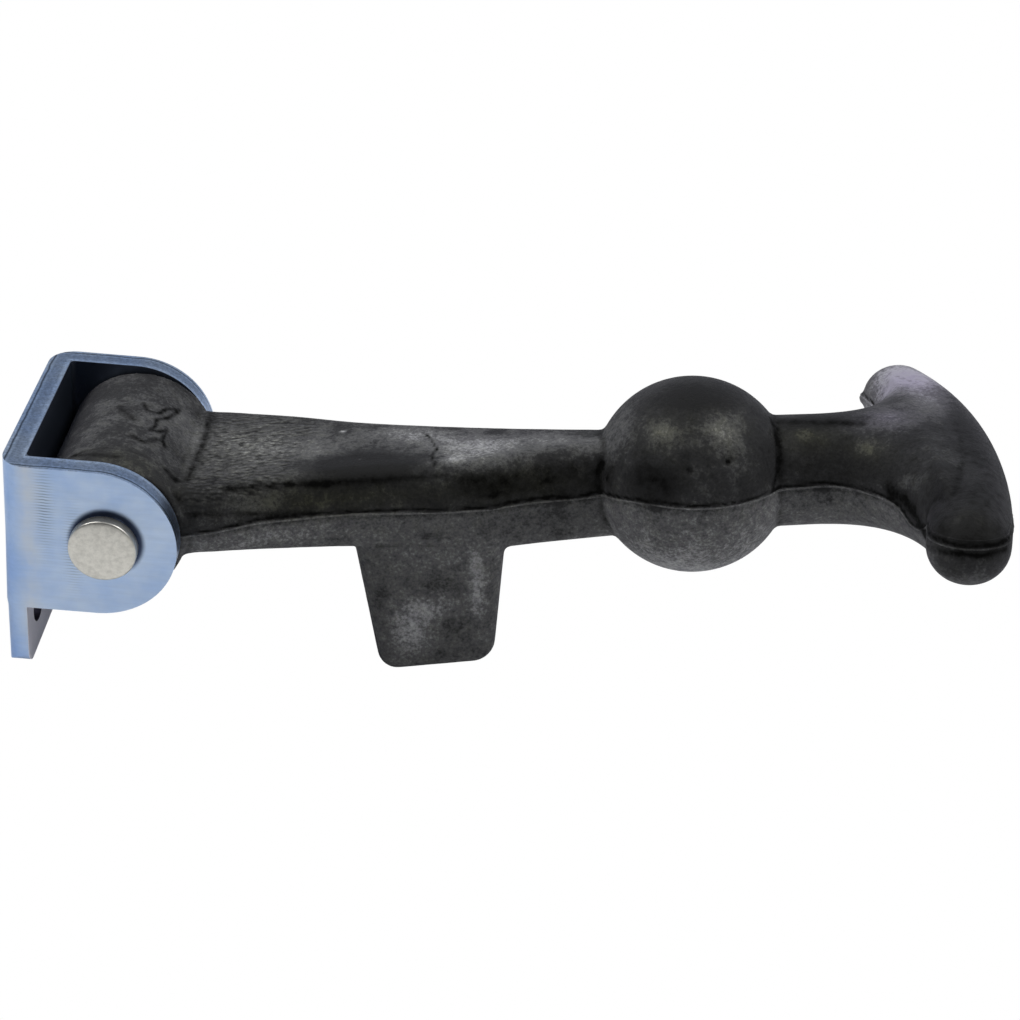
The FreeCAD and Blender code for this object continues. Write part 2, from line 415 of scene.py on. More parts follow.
def twistAt(distance):
    start, end = armForm["twistStart"], armForm["twistEnd"]
    return np.radians(armForm["setTwist"]) * held(distance - start, end - start)


def turnAt(distance):
    return Matrix.Rotation(float(twistAt(distance)), 3, "X")


# Sizes a share of the way from one set to another
def between(start, end, share):
    return [start[name] + (end[name] - start[name]) * share for name in start]


def eyeRings():
    form = armForm
    end, edge = form["eyeHalfLength"], form["eyeEdge"]
    wide, bore = form["eyeRadius"], form["boreRadius"]
    profile = [(-end, bore), (-end, wide - form["eyeEndDrop"]), (form["eyeTaperLength"] - end, wide),
               (end - edge, wide), (end, wide - edge), (end, bore)]
    return [[(x, along, z) for x, z in oval(radius, radius, form["roundStep"])]
            for along, radius in profile]


def beamRings():
    form = armForm
    for distance in np.arange(form["beamStart"], form["ballDistance"], form["beamStep"]):
        wide, thick, sag = (float(curveThrough(form[name], distance))
                            for name in ("halfWidths", "halfThicknesses", "sags"))
        narrow = wide - form["sideDraft"]
        corners = [(wide, 0), (narrow, thick), (-narrow, thick),
                   (-wide, 0), (-narrow, -thick), (narrow, -thick)]
        rounds = [form["sideEdge"], form["cornerRadius"], form["cornerRadius"]] * 2
        outline = roundedOutline(corners, rounds, form["cornerSteps"])
        yield [turnAt(distance) @ Vector((distance, across, up - sag)) for across, up in outline]


def lugRings():
    form = armForm
    edge, reach = form["lugTipEdge"], form["lugReach"]
    levels = [(depth, 0.0) for depth in np.linspace(0, reach - edge, form["lugLevels"])]
    for angle in angles(form["lugEdgeStep"], 90, form["lugEdgeStep"]):
        levels.append((reach - edge + edge * math.sin(angle), edge * (1 - math.cos(angle))))
    turn = turnAt(form["lugRoot"]["centre"])
    for depth, inset in levels:
        share = depth / reach
        centre, length, width = between(form["lugRoot"], form["lugTip"], share)
        halfLong, halfWide = length / 2 - inset, width / 2 - inset
        corners = [(halfLong, -halfWide), (halfLong, halfWide),
                   (-halfLong, halfWide), (-halfLong, -halfWide)]
        corner = max(form["lugCorner"] - inset, form["lugLeastCorner"])
        outline = roundedOutline(corners, [corner] * 4, form["cornerSteps"])
        slopes = [along / length * form["lugTipSlope"] * share for along, _ in outline]
        yield [turn @ Vector((centre + along, across, slope - depth))
               for (along, across), slope in zip(outline, slopes)]


def ballRings():
    form = armForm
    for angle in angles(-form["ballPole"], form["ballPole"], form["roundStep"]):
        radius = form["ballRadius"] * math.cos(angle)
        along = form["ballDistance"] + form["ballRadius"] * math.sin(angle)
        yield [(along, y, z) for y, z in oval(radius, radius, form["roundStep"])]


# Neck from the ball, and the flare that spreads into the handle along a quarter of an ellipse
def neckRings():
    form = armForm
    reach = form["ballDistance"] + form["handleBeyondBall"] + form["handleSweepBack"]
    flareEnd = reach - form["handleMid"]["halfDepth"]
    stations = [(form["ballDistance"], form["neckHalfWidth"], form["neckRootHalfThickness"])]
    for angle in angles(0, 90, form["flareStep"]):
        spread = 1 - math.cos(angle)
        thicker = form["flareEndHalfThickness"] - form["neckHalfThickness"]
        stations.append((flareEnd - form["flareLength"] * (1 - math.sin(angle)),
                         form["neckHalfWidth"] + form["flareSpread"] * spread,
                         form["neckHalfThickness"] + thicker * spread))
    stations.append((reach, stations[-1][1], form["flareInnerHalfThickness"]))
    turn = turnAt(form["ballDistance"])
    for distance, wide, thick in stations:
        rise = form["handleRise"] * (distance - form["ballDistance"]) / form["handleBeyondBall"]
        yield [turn @ Vector((distance, across, up + rise))
               for across, up in oval(wide, thick, form["neckStep"])]


# Handle along an arc, thicker in the middle, with a round end past each side
def handleRings():
    form = armForm
    halfSpan, sweep = form["handleSpan"] / 2, form["handleSweepBack"]
    bend = (halfSpan ** 2 + sweep ** 2) / (2 * sweep)
    reach = form["ballDistance"] + form["handleBeyondBall"] + sweep
    centre = Vector((reach - bend, 0, form["handleRise"]))
    halfAngle = math.asin(halfSpan / bend)
    stations = [(share, 0.0, 1.0) for share in np.linspace(-1, 1, form["handleRings"])]
    for angle in angles(form["tipStep"], 90 - form["tipStep"], form["tipStep"]):
        stations.append((1, math.sin(angle), math.cos(angle)))
        stations.insert(0, (-1, -math.sin(angle), math.cos(angle)))
    turn = turnAt(form["ballDistance"])
    for share, beyond, size in stations:
        swell = 1 - share ** 2
        outward = Vector((math.cos(share * halfAngle), math.sin(share * halfAngle), 0))
        along = Vector((-outward.y, outward.x, 0))
        deep, high = between(form["handleTip"], form["handleMid"], swell)
        middle = centre + outward * bend + along * (beyond * form["handleTipReach"])
        yield [turn @ (middle + outward * out + Vector((0, 0, up)))
               for out, up in oval(deep * size, high * size, form["handleStep"])]


# The joined forms become one skin by a voxel remesh, as one moulding has no inner walls
def remeshed(piece):
    modify(piece, "REMESH", mode="VOXEL", voxel_size=armForm["voxel"])
    modify(piece, "SMOOTH", factor=armForm["smoothShare"], iterations=armForm["smoothing"])
    return settled(piece)


def armToRow():
    rise = Matrix.Rotation(math.radians(-armForm["riseAngle"]), 4, "Y")
    return Matrix.Translation(pinCentre()) @ rise @ Matrix.Scale(mm, 4)


# Where the mould's two halves met, and the thin flash that was squeezed out there. Heights are in mm
# above the arm's straightened middle plane, places along the arm or across the handle.
flash = {
    "alongArm": [(-12, -0.8), (6, -1.0), (13, -1.15), (17, -0.8), (22, -0.3), (29, -0.45), (36, -0.7),
                 (45, -1.2), (57, -1.6), (66, -1.4), (77, -1.05), (80, -0.2), (84, 0.3), (91, 0.17),
                 (100, 0.3), (105, 0.4), (114, 0.93), (118, 0.8), (124, 0.5)],
    "acrossHandle": [(-39, 2.7), (-34, 2.5), (-27, 1.6), (-15, 0.6), (0, 0.7), (15, 0.9), (28, 1.4),
                     (39, 1.4)],
    "handleStart": 121.0,
    "handleBlend": 3.0,
    "dip": {"centre": -20.5, "width": 4.0, "depth": 2.6, "end": 128.0, "fade": 2.0},
    "halfWidth": 0.22,
    "height": 0.18,
    "spacing": 0.55,
    "section": [(-1.0, -0.6), (-0.75, 0.1), (-0.3, 0.85), (0.0, 1.0), (0.3, 0.85), (0.75, 0.1),
                (1.0, -0.6), (0.0, -1.2)],
    "evening": 6,
    "evenShare": 0.75,
    "waves": [(0.35, 0.45), (1.3, 0.25)],
    "endRings": 6,
    "fewestPoints": 40,
    "secondLineStart": -29.5,
    "secondLineRise": 1.15,
    "secondLineFewest": 12,
}

# Dusty bloom on the rubber, with painted highlights, sheen, light and shade among the spots: soft spots
# in mm in the arm's frame, as centre (three numbers), reach along X, Y and Z, and weight
bloomAndPaintedLightSpots = [
    (20, 0, 6, 10, 12, 4, 0.4), (30, -4, 6, 6, 8, 3, 0.2), (38.5, -6.8, 6.2, 8, 3.2, 2.5, -0.55),
    (45, 4, 5.5, 8, 3.8, 3, 0.38), (42, 12, 4, 14, 4, 5, 0.2), (56.5, -1.2, 6.0, 7.5, 6.2, 2.6, 0.45),
    (53.5, -5.5, 6.4, 2.2, 1.6, 1.5, 0.3), (68, 0.2, 6.4, 7, 4.4, 2.6, 0.24),
    (76, -2, 7, 4.5, 3.2, 2, 0.2), (26, -13.5, 3, 12, 3, 2, 0.08), (24, -14, -3, 13, 3, 2.2, 0.17),
    (66, -8, -3, 12, 3, 2.5, -0.1), (0, 2, 10, 8, 14, 5, 0.18), (9.5, 7, 7, 3.5, 6, 5, 0.16),
    # the two spots on the top of the ball are painted highlights
    (86.5, -8.4, 12.4, 2.3, 2.3, 2.3, 0.32), (95.8, -8.8, 12.5, 3.6, 3.6, 3.2, 0.36),
    # the first spot below darkens the ball's lower front as painted shade
    (84.4, -13.1, 5.3, 4, 3, 3.4, -0.3), (92, -2.5, 15.6, 9, 5, 2.5, -0.2), (99, -11, 8, 4, 4, 4, 0.1),
    # the second spot below lightens the ball's underside as painted light from the floor
    (80.5, -3, 9, 2.5, 5, 5, 0.2), (91.5, -9, -12, 13, 12, 10, 0.3), (112, -4, 6, 9, 8, 6, -0.07),
    (109.5, -3.4, 9, 2.5, 1.6, 1.2, 0.2), (119, -7.5, 8, 3, 2.2, 1.4, 0.22),
    # the second spot below, on top of the flare, is a painted sheen
    (111, -0.8, 9.8, 7, 1.5, 1, -0.2), (122.5, 0, 10, 5, 4.5, 2, 0.34), (130, -14, 9, 5, 8, 4, 0.06),
    (124.5, -15.5, 7, 3.0, 4, 1.6, 0.12), (129.5, 27, 4, 8, 14, 8, 0.85), (131, 8, 8, 5, 7, 2.5, 0.25),
    (130, -32, 8, 8, 8, 6, -0.35), (136, -8, 7, 3.5, 26, 6, -0.3),
    # the two spots on the handle's front tip are painted highlights
    (127.2, -34.4, 11.2, 0.9, 0.9, 0.9, 0.2), (130.7, -35.1, 11.6, 1.1, 1.1, 1.0, 0.25),
    (46, -11, -22.5, 3.2, 3, 4, 0.28), (48.5, -10.7, -18.5, 5, 3, 2.3, 0.2),
    # the first spot below is painted light on the lug's rounded right edge
    (56.8, -10.7, -14, 1.2, 3, 7, 0.22), (50, -11, -9, 13, 3, 3, 0.08), (54, -11, -25, 4, 3, 3, -0.02),
    # the first spot below is painted shade on the lug's rounded left edge
    (41, -10.4, -15, 2, 3, 6, -0.06), (46, -11, -12, 5, 3, 4, -0.04),
]

# Dark strokes of dirt and of painted shade: points along each in mm in the arm's frame, radius and
# weight
dirtAndShadeStrokes = [
    # painted shade with dirt in the crease where the arm leaves the eye
    ([(12.1, 13.5, 5.4), (12.7, 4.4, 5.7), (12.3, -5.1, 5.8), (12.0, -10.6, 5.7), (12.0, -14, 4.5)],
     0.8, 0.85),
    # this and the next two darken the arm's upper front side as painted shade
    ([(18.5, -12.9, 5.7), (27.5, -11.6, 5.5), (34, -10.8, 5.2)], 0.75, 0.95),
    ([(34, -10.8, 5.2), (39.7, -9.9, 5.1), (52.4, -8.6, 5.1)], 0.6, 0.7),
    ([(55.5, -9.0, 3.9), (61.0, -8.0, 3.5), (68.8, -6.6, 3.4), (78.0, -7.0, 4.0)], 2.3, 0.68),
    ([(60, -9.3, 0.8), (70, -8, 0.6), (78, -8.5, 1.2)], 1.6, 0.33),
    ([(13.2, -15.3, 2.5), (19.6, -14.5, 2.2), (24.7, -13.8, 1.4), (31, -12.6, 0.8)], 0.6, 0.75),
    ([(48.3, 5.4, 5.5), (49.9, 1.5, 5.8), (50.8, -1.3, 6.0), (50.0, -4.1, 6.3), (50.9, -7.2, 6.2)],
     0.35, 0.95),
    # painted shade in the crease where the ball meets the neck
    ([(103.9, -0.2, 10.0), (104.6, -3.3, 8.9), (104.6, -5.9, 7.0), (104.4, -8.0, 4.9),
      (103.7, -9.6, 3.0)], 0.5, 0.95),
    # painted shade with dirt in the hollow between the flare and the handle's front tip
    ([(121.5, -14.0, 4.6), (124.0, -18.2, 4.2), (125.4, -21.5, 3.2), (125.9, -24.5, 1.1)], 1.3, 1.0),
    ([(124.0, -33.4, 6.2), (125.1, -36.2, 7.1), (127.0, -37.8, 7.6), (130.6, -38.5, 7.7),
      (134.2, -36.6, 7.6)], 0.5, 0.8),
    ([(2.9, 5.0, 11.6), (3.9, 3.0, 11.3), (5.6, 3.2, 10.6), (6.4, 5.9, 10.1), (8.1, 7.9, 8.8),
      (7.1, 3.5, 9.7), (5.5, 1.1, 10.6), (5.9, -0.5, 10.5), (5.3, -2.6, 10.8), (6.7, -1.8, 10.0),
      (7.5, -0.1, 9.4), (7.3, -3.4, 9.5), (7.9, -5.1, 9.1)], 0.42, 1.0),
    ([(3.1, -6.1, 11.6), (5.0, -6.8, 10.9), (6.6, -4.4, 10.0)], 0.7, 0.75),
    ([(-0.5, 3.3, 12.0), (2.1, -0.5, 11.8)], 1.0, 0.7),
    ([(-5.5, -10.8, 10.7), (-3.3, -12.0, 11.5), (-0.5, -12.9, 12.0), (1.9, -13.2, 11.8)], 0.6, 0.8),
    # this and the next follow the crease between the eye and the arm: painted shade with dirt
    ([(9.1, -11.0, 7.8), (10.5, -11.3, 5.9), (11.4, -12.8, 3.7)], 0.7, 0.8),
    ([(6.0, 15.0, 11.2), (9.6, 14.6, 8.0)], 0.8, 0.8),
    # painted shade on the ball's lower front
    ([(86.3, -13.6, 5.6), (84.0, -12.0, 6.8)], 2.4, 0.55),
    ([(106, 0, 9.9), (118, -1.6, 9.9)], 0.9, 0.7),
    # a painted shadow along the edge where the eye's front taper starts
    ([(-4, -10.6, 11.3), (0, -10.6, 12), (5, -10.6, 10.9), (9, -10.6, 7.9), (11.5, -10.6, 3.4),
      (12, -10.6, 0)], 0.3, 0.7),
]

# Broad areas with a mottled film of dirt, as centre, reach and weight
dirtSpots = [
    (40, -12, 2, 26, 3.4, 3, 0.14), (7, 8, 10, 4, 8, 4, 0.14), (91, -3, 8, 13, 14, 9, 0.16),
    (112, -4, 6, 12, 8, 6, 0.24), (131, -16, 8, 9, 17, 9, 0.42), (130, -33, 7, 8, 7, 7, 0.25),
    (38, -6, 6, 8, 4, 2, 0.12),
]

# Olive staining above zero, which on the two spots on the ball tints the painted highlights there, and a
# painted lavender sheen below it, as centre, reach and weight
tintSpots = [
    (34, -11.5, 3, 20, 3, 2.6, 0.5), (66, -8, 3, 14, 3, 2.6, 0.45), (86.5, -8.4, 12.4, 4, 4, 4, 0.28),
    (95.8, -8.8, 12.5, 5, 5, 4, 0.2), (20, 0, 6, 10, 14, 4, 0.12), (110, -4, 8.5, 5, 3, 2.4, 0.5),
    (119, -7.5, 8, 4, 3, 2, 0.45), (129, 22, 4, 9, 15, 8, -0.5), (122, 0, 10, 7, 6, 3, -0.4),
    (136, -4, 8, 4, 24, 5, -0.3), (131, -33, 11, 5, 5, 3, 0.3), (62, 6, 6, 12, 5, 3, -0.12),
    (3, -14, 10, 8, 3.5, 8, 0.3),
]

# Amounts of bloom, painted light from the floor on the lower half, dirt with painted shade in hollows,
# and pebbled skin on the arm, and its small marks, in mm. Beside the flash they are (amount, height,
# width, steepest normal that still takes it).
surfaceForm = {
    "baseBloom": 0.20,
    "underBloomAndFloorLight": 0.24,
    "lineBloom": (0.30, 0.0, 0.22, 0.9),
    "lineDirt": (1.1, 0.55, 0.26, 0.8),
    "hollowScale": 0.05,
    "hollowLimit": 0.8,
    "hollowSoftening": 2,
    "pebbleStart": 11.0,
    "pebbleEnd": 31.0,
    "pebbleFade": 3.0,
    "pebbleSlant": 0.15,
    "pebbleHeight": 3.0,
    "pebbleHeightFade": 1.5,
    "plainTint": 0.5,
    "nubCentre": (123.9, 34.0, -4.3),
    "nubRadius": 0.95,
    "pits": [((96.4, -12.1, 8.8), 0.7, 0.42), ((90.4, -13.4, 8.2), 0.65, 0.32),
             ((93.2, -13.0, 8.7), 0.6, 0.15)],
    "specks": [(35.0, 5.2, 5.6), (38.9, -5.2, 6.1)],
    "speckRadius": 0.36,
    "speckBloom": 1.5,
}


# Takes the arm's set twist out of points in its own frame
def straightened(points):
    turn = -twistAt(points[:, 0])
    y = points[:, 1] * np.cos(turn) - points[:, 2] * np.sin(turn)
    z = points[:, 1] * np.sin(turn) + points[:, 2] * np.cos(turn)
    return np.column_stack((points[:, 0], y, z))


# Height of each point over the parting surface, below zero in the lower half of the mould
def overParting(points):
    x, y, z = straightened(points).T
    share = held(x - flash["handleStart"], flash["handleBlend"])
    share = share * share * (3 - 2 * share)
    centre, width, depth, end, fade = flash["dip"].values()
    dip = depth * np.exp(-((y - centre) / width) ** 2) * held(end - x, fade)
    alongArm = curveThrough(flash["alongArm"], x)
    acrossHandle = curveThrough(flash["acrossHandle"], y) - dip
    return z - (alongArm * (1 - share) + acrossHandle * share)


# Closed chains of (points, normals) where a height field on the mesh crosses zero
def zeroLines(mesh, points, normals, height):
    links = {}
    for polygon in mesh.polygons:
        corners = list(polygon.vertices)
        cut = []
        for here, there in zip(corners, corners[1:] + corners[:1]):
            if (height[here] > 0) != (height[there] > 0):
                cut.append((min(here, there), max(here, there)))
        if len(cut) == 2:
            links.setdefault(cut[0], []).append(cut[1])
            links.setdefault(cut[1], []).append(cut[0])
    lines = []
    while links:
        start = next(iter(links))
        line = [start]
        while True:
            onward = [edge for edge in links.pop(line[-1], []) if edge in links]
            if not onward:
                break
            line.append(onward[0])
        if len(line) > flash["fewestPoints"]:
            first, second = np.array(line).T
            share = (height[first] / (height[first] - height[second]))[:, None]
            lines.append((points[first] * (1 - share) + points[second] * share,
                          normals[first] * (1 - share) + normals[second] * share))
    return lines


# A low ridge of rubber that follows a line on the skin, uneven in height, fading out at open ends
def addRidge(shell, line, closed):
    points, normals = line
    wide, high = flash["halfWidth"], flash["height"]
    for _ in range(flash["evening"]):
        inner = (np.roll(points, 1, 0) + points + np.roll(points, -1, 0)) / 3
        points = inner if closed else np.vstack((points[:1], inner[1:-1], points[-1:]))
    if closed:
        points, normals = np.vstack((points, points[:1])), np.vstack((normals, normals[:1]))
    lengths = np.concatenate(([0], np.cumsum(np.linalg.norm(np.diff(points, axis=0), axis=1))))
    places = np.arange(0, lengths[-1] - (flash["spacing"] / 2 if closed else 0), flash["spacing"])
    path, outward = (np.column_stack([np.interp(places, lengths, values[:, axis]) for axis in range(3)])
                     for values in (points, normals))
    rings = []
    last = len(path) - 1
    for index, centre in enumerate(path):
        before = path[index - 1] if closed or index else centre
        after = path[(index + 1) % len(path)] if closed or index < last else centre
        ahead = Vector(after - before).normalized()
        out = Vector(outward[index])
        out = (out - ahead * out.dot(ahead)).normalized()
        side = ahead.cross(out)
        uneven = flash["evenShare"]
        for frequency, share in flash["waves"]:
            uneven += share * noise.noise(Vector(centre) * frequency)
        if not closed:
            uneven *= min(1.0, index / flash["endRings"], (last - index) / flash["endRings"])
        rings.append([Vector(centre) + side * (wide * across) + out * (high * up * uneven)
                      for across, up in flash["section"]])
    skinRings(shell, rings, looped=closed)


# How far each point lies in a hollow, softened over its neighbours
def hollows(mesh, points, normals):
    edges = np.array([edge.vertices[:] for edge in mesh.edges])
    count = np.bincount(edges.ravel(), minlength=len(points))

    def neighbours(values):
        total = np.zeros_like(values)
        np.add.at(total, edges[:, 0], values[edges[:, 1]])
        np.add.at(total, edges[:, 1], values[edges[:, 0]])
        return total / count.reshape((-1,) + (1,) * (values.ndim - 1))

    hollow = ((neighbours(points) - points) * normals).sum(1)
    for _ in range(surfaceForm["hollowSoftening"]):
        hollow = (hollow + neighbours(hollow)) / 2
    return hollow


# Distance from each point to a line of straight pieces
def distanceToLine(points, line):
    nearest = np.full(len(points), np.inf)
    for start, end in zip(np.array(line[:-1], float), np.array(line[1:], float)):
        piece = end - start
        share = np.clip((points - start) @ piece / (piece @ piece), 0, 1)
        nearest = np.minimum(nearest, np.linalg.norm(points - start - share[:, None] * piece, axis=1))
    return nearest


def sumOfSpots(points, spots):
    total = np.zeros(len(points))
    for *place, weight in spots:
        total += weight * np.exp(-(((points - place[:3]) / place[3:]) ** 2).sum(1))
    return total


# Writes the arm's finish to its points: red is bloom with painted highlights, sheen and floor light,
# green is dirt with painted shade, blue is pebbled skin, alpha is tint
def paintFinish(mesh, points, normals, height):
    form = surfaceForm

    def besideFlash(amount, centre, width, steepest):
        return amount * np.exp(-((height - centre) / width) ** 2) * (np.abs(normals[:, 2]) < steepest)

    specks = [(*speck, *[form["speckRadius"]] * 3, form["speckBloom"]) for speck in form["specks"]]
    bloomAndPaintedLight = form["baseBloom"] + sumOfSpots(points, bloomAndPaintedLightSpots + specks)
    # the lower half of the mould is painted lighter: bloom with painted light from the floor
    bloomAndPaintedLight += form["underBloomAndFloorLight"] * np.clip(-height, 0, 1) + besideFlash(*form["lineBloom"])
    # concave places are painted darker, painted shade with dirt, by how far they lie in a hollow
    dirtAndShade = np.clip(hollows(mesh, points, normals) / form["hollowScale"], 0, form["hollowLimit"])
    dirtAndShade += besideFlash(*form["lineDirt"]) + sumOfSpots(points, dirtSpots)
    for line, radius, weight in dirtAndShadeStrokes:
        dirtAndShade += weight * np.exp(-(distanceToLine(points, line) / radius) ** 2)
    x, y, z = points[:, 0], points[:, 1], straightened(points)[:, 2]
    pebble = (held(x - form["pebbleStart"], form["pebbleFade"])
              * held(form["pebbleEnd"] - x + y * form["pebbleSlant"], form["pebbleFade"])
              * held(z - form["pebbleHeight"], form["pebbleHeightFade"]))
    tint = form["plainTint"] + sumOfSpots(points, tintSpots)
    layer = mesh.color_attributes.new("finish", "FLOAT_COLOR", "POINT")
    values = np.clip(np.column_stack((bloomAndPaintedLight, dirtAndShade, pebble, tint)), 0, 1)
    layer.data.foreach_set("color", values.astype(np.float32).ravel())


# Points of a mesh, then its normals
def readPoints(mesh):
    for rows, name in ((mesh.vertices, "co"), (mesh.vertex_normals, "vector")):
        values = np.zeros(len(rows) * 3, np.float32)
        rows.foreach_get(name, values)
        yield values.reshape(-1, 3).astype(float)


def makeRubberArm():
    shell = bmesh.new()
    skinRings(shell, eyeRings(), looped=True)
    for rings in (beamRings(), lugRings(), ballRings(), neckRings(), handleRings()):
        skinRings(shell, rings)
    nub = Matrix.Translation(surfaceForm["nubCentre"])
    bmesh.ops.create_icosphere(shell, subdivisions=2, radius=surfaceForm["nubRadius"], matrix=nub)
    arm = remeshed(solidFromShell("rubberArm", shell))
    mesh = arm.data
    points, normals = readPoints(mesh)
    for centre, radius, depth in surfaceForm["pits"]:
        away = np.linalg.norm(points - np.array(centre), axis=1) / radius
        points -= normals * (depth * np.exp(-away[:, None] ** 2))
    mesh.vertices.foreach_set("co", points.astype(np.float32).ravel())
    height = overParting(points)
    body = bmesh.new()
    body.from_mesh(mesh)
    for line in zeroLines(mesh, points, normals, height):
        addRidge(body, line, True)
    # the second line shows only near the handle's front tip
    for places, outward in zeroLines(mesh, points, normals, height - flash["secondLineRise"]):
        kept = places[:, 1] < flash["secondLineStart"]
        if kept.sum() > flash["secondLineFewest"]:
            order = np.roll(np.arange(len(kept)), -int(np.argmax(~kept)))
            order = order[kept[order]]
            addRidge(body, (places[order], outward[order]), False)
    body.to_mesh(mesh)
    body.free()
    mesh.update()
    points, normals = readPoints(mesh)
    paintFinish(mesh, points, normals, overParting(points))
    mesh.transform(armToRow())
    return smoothed(arm)


# Bracket, folded from plate: sizes in mm in the row frame. The outer bends are (height, radius), sharper
# towards the flange, and steps are in parts of a bend or in degrees round a circle.
bracketForm = {
    "plate": 3.6,
    "halfWidth": 20.0,
    "innerBend": 0.8,
    "outerBends": [(-24.5, 2.9), (-13.6, 2.9), (-12.2, 2.3), (0.0, 3.6), (13.0, 4.2)],
    "bendSteps": 8,
    "earRadius": 12.7,
    "earStep": 3,
    "roundCentre": 14.5,
    "tipReach": 28.0,
    "flangeDrop": 24.0,
    "flangeCorner": 2.8,
    "cornerStep": 10,
    "mountHoleRadius": 3.3,
    "mountHolePlaces": [(-12.7, -16.2), (12.7, -16.2)],
    "pinPlace": 16.0,
    "rivetHoleRadius": 4.05,
    "holeStep": 6,
    "overcut": 1.0,
    "edgeBreak": 0.34,
    "edgeSteps": 3,
    "edgeAngle": 38,
}


# Points nearer to each other than this, in mm, become one
weld = 0.001


def solidFromRings(name, rings):
    shell = bmesh.new()
    skinRings(shell, rings)
    bmesh.ops.remove_doubles(shell, verts=shell.verts, dist=weld)
    return solidFromShell(name, shell)


# Cuts a piece with a cutter of two rings, which is used up
def carve(piece, rings, operation="DIFFERENCE"):
    cutter = solidFromRings("cutter", rings)
    modify(piece, "BOOLEAN", operation=operation, object=cutter, solver="EXACT")
    settled(piece)
    bpy.data.objects.remove(cutter)


def arc(centre, radius, turns):
    return [(centre[0] + radius * math.cos(a), centre[1] + radius * math.sin(a)) for a in turns]


def alongX(outline, ends):
    return [[(x, y, z) for y, z in outline] for x in ends]


def alongY(outline, ends):
    return [[(x, y, z) for x, z in outline] for y in ends]


# Settles a piece with shading that keeps its flat faces flat, and turns its millimetres to metres
def finished(piece):
    modify(piece, "WEIGHTED_NORMAL", keep_sharp=True)
    settled(piece)
    piece.data.transform(Matrix.Scale(mm, 4))
    return piece


def makeBracket():
    form = bracketForm
    plate, half, tip, over = (form[name] for name in ("plate", "halfWidth", "tipReach", "overcut"))
    inner, foot, corner = half - plate, -form["flangeDrop"], form["flangeCorner"]
    throughPlate, throughEars = (-over, plate + over), (-half - over, half + over)
    channel = [(tip, -half), (tip, -inner), (plate, -inner), (plate, inner),
               (tip, inner), (tip, half), (0, half), (0, -half)]
    rings = []
    for height, outer in form["outerBends"]:
        rounds = [0, 0, form["innerBend"], form["innerBend"], 0, 0, outer, outer]
        rings.append([(x, y, height) for x, y in roundedOutline(channel, rounds, form["bendSteps"])])
    piece = solidFromRings("foldedBracket", rings)

    ear = arc((form["roundCentre"], 0), form["earRadius"], angles(-90, 90, form["earStep"]))
    sideView = [(-over, form["earRadius"]), (-over, foot), (plate, foot), (plate, -form["earRadius"])]
    carve(piece, alongY(sideView + ear, throughEars), "INTERSECT")
    rounding = arc((half - corner, foot + corner), corner, angles(-90, 0, form["cornerStep"]))
    waste = [(half + over, foot - over), (half - corner, foot - over), *rounding,
             (half + over, foot + corner)]
    for side in (-1, 1):
        carve(piece, alongX([(side * y, z) for y, z in waste], throughPlate))
    turns = fullTurn(form["holeStep"])
    for place in form["mountHolePlaces"]:
        carve(piece, alongX(arc(place, form["mountHoleRadius"], turns), throughPlate))
    carve(piece, alongY(arc((form["pinPlace"], 0), form["rivetHoleRadius"], turns), throughEars))

    modify(piece, "BEVEL", width=form["edgeBreak"], segments=form["edgeSteps"],
           limit_method="ANGLE", angle_limit=math.radians(form["edgeAngle"]))
    return finished(smoothed(piece))


# Rivet: (along the pin in mm from the middle, radius) from the struck face to the middle of the upset
# tail. The head and tail, wider than shankLimit, are a little out of round.
rivetForm = {
    "profile": [(-22.42, 0.02), (-22.39, 1.6), (-22.28, 3.2), (-22.1, 4.5), (-21.98, 5.0), (-21.86, 5.2),
                (-21.66, 5.3), (-20.35, 5.3), (-20.12, 5.28), (-20.0, 5.2), (-20.0, 4.0), (0.0, 4.0),
                (20.0, 4.0), (20.0, 5.15), (20.15, 5.3), (20.6, 5.3), (21.1, 5.12), (21.6, 4.6),
                (21.95, 3.7), (22.15, 2.2), (22.2, 0.02)],
    "turnStep": 5,
    "shankLimit": 4.5,
    "unevenness": 0.05,
    "wave": 1.6,
    "sharpAngle": 50,
}


def makeRivet():
    form = rivetForm
    pin = pinCentre() / mm
    rings = []
    for along, radius in form["profile"]:
        step = Vector((0, along, 0))
        ring = []
        for a in fullTurn(form["turnStep"]):
            around = Vector((math.cos(a), 0, math.sin(a)))
            shaken = noise.noise(around * form["wave"] + step) * form["unevenness"]
            wide = radius + (shaken if radius > form["shankLimit"] else 0)
            ring.append(pin + around * wide + step)
        rings.append(ring)
    rivet = smoothed(solidFromRings("setRivet", rings))
    rivet.data.set_sharp_from_angle(angle=math.radians(form["sharpAngle"]))
    return finished(rivet)


